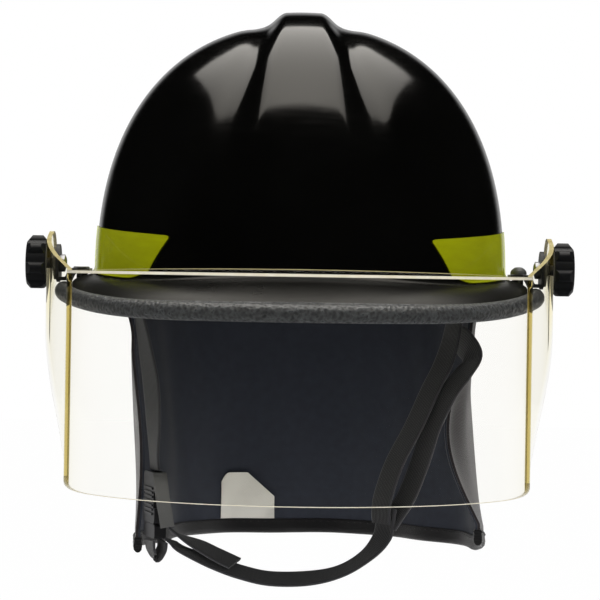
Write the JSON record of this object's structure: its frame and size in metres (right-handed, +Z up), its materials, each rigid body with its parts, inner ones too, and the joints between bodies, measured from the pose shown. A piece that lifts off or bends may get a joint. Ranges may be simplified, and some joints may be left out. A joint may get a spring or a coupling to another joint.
{
  "type": "fire helmet",
  "caption": "Structural fire helmet with a flip-up clear face shield, ratchet headband, neck protector and chin strap.",
  "frame": {"origin": "centre of the headband's lower edge, where the helmet rests on the head", "axes": "-Y towards the front of the helmet, +Z up through the crown, +X to the viewer's right seen from the front"},
  "size_m": [0.3164, 0.374, 0.3269],
  "materials": {
    "shell": "gloss",
    "trim": "textured",
    "foam": "matt",
    "cap": "satin",
    "webbing": "woven",
    "black_plastic": "satin",
    "light_plastic": "satin",
    "padding": "soft",
    "reflective": "retroreflective",
    "clear_sheet": "clear, slightly amber",
    "black_steel": "semi-gloss",
    "steel": "satin",
    "rubber": "matt",
    "washer": "satin",
    "knob_plastic": "satin",
    "brass": "turned",
    "outer_cloth": "woven, flame resistant",
    "lining_cloth": "knitted",
    "binding_cloth": "bias tape",
    "label_cloth": "bare satin tape",
    "tag_plastic": "satin"
  },
  "bodies": {
    "helmet": {"outer_shell": "shell", "edge_trim": "trim", "impact_liner": "foam", "inner_cap": "cap", "crown_strap_side": "webbing", "crown_strap_left": "webbing", "crown_strap_right": "webbing", "suspension_keys": "black_plastic", "crown_pad": "padding", "headband": "black_plastic", "brow_pad": "padding", "nape_pad": "padding", "ratchet_housing": "black_plastic", "ratchet_cover": "black_plastic", "patch_front_left": "reflective", "patch_front_right": "reflective", "patch_rear_left": "reflective", "patch_rear_right": "reflective", "shield_bracket_left": "black_steel", "shield_bracket_right": "black_steel", "bracket_screws": "black_steel", "bracket_pads": "rubber", "bracket_nut_plates": "steel", "pivot_bolt_left": "steel", "pivot_bolt_right": "steel", "inner_washers": "washer", "outer_washers": "washer", "neck_protector": "outer_cloth", "neck_lining": "lining_cloth", "hem_binding": "binding_cloth", "neck_label": "label_cloth", "strap_rivets": "steel", "chin_strap_left": "webbing", "chin_strap_right_front": "webbing", "chin_strap_right_rear": "webbing", "chin_strap_lower": "webbing", "buckle_socket": "black_plastic", "strap_tag": "tag_plastic"},
    "face_shield": {"face_shield": "clear_sheet"},
    "knob_left": {"knob_left": "knob_plastic", "knob_insert_left": "brass"},
    "knob_right": {"knob_right": "knob_plastic", "knob_insert_right": "brass"},
    "ratchet_knob": {"ratchet_knob": "black_plastic", "ratchet_pinion": "light_plastic"},
    "nape_arm_left": {"nape_arm_left": "black_plastic"},
    "nape_arm_right": {"nape_arm_right": "black_plastic"},
    "buckle_tongue": {"buckle_tongue": "black_plastic", "chin_strap_tail": "webbing", "chin_strap_fold": "webbing"}
  },
  "joints": [
    {"name": "shield_flip", "type": "hinge", "parent": "helmet", "child": "face_shield", "pos_m": [0, -0.012, 0.023], "axis": [-1, 0, 0], "range_deg": [0, 95]},
    {"name": "knob_left_turn", "type": "hinge", "parent": "helmet", "child": "knob_left", "pos_m": [-0.152, -0.012, 0.023], "axis": [-1, 0, 0], "range_deg": [-30, 330]},
    {"name": "knob_right_turn", "type": "hinge", "parent": "helmet", "child": "knob_right", "pos_m": [0.152, -0.012, 0.023], "axis": [1, 0, 0], "range_deg": [-30, 330]},
    {"name": "ratchet_turn", "type": "hinge", "parent": "helmet", "child": "ratchet_knob", "pos_m": [0, 0.104, 0.005], "axis": [0, 1, 0], "range_deg": [-84, 134]},
    {"name": "nape_arm_left_slide", "type": "hinge", "parent": "helmet", "child": "nape_arm_left", "pos_m": [0, 0.022, 0.005], "axis": [0, 0, 1], "range_deg": [-5.13, 8.18]},
    {"name": "nape_arm_right_slide", "type": "hinge", "parent": "helmet", "child": "nape_arm_right", "pos_m": [0, 0.022, 0.005], "axis": [0, 0, 1], "range_deg": [-8.18, 5.13]},
    {"name": "buckle_release", "type": "slide", "parent": "helmet", "child": "buckle_tongue", "axis": [0, 0, -1], "range_m": [0, 0.02], "deforming": ["chin_strap_lower"]}
  ],
  "couplings": [
    {"joint": "nape_arm_left_slide", "follows": "ratchet_turn", "ratio": 0.06098},
    {"joint": "nape_arm_right_slide", "follows": "ratchet_turn", "ratio": -0.06098}
  ]
}
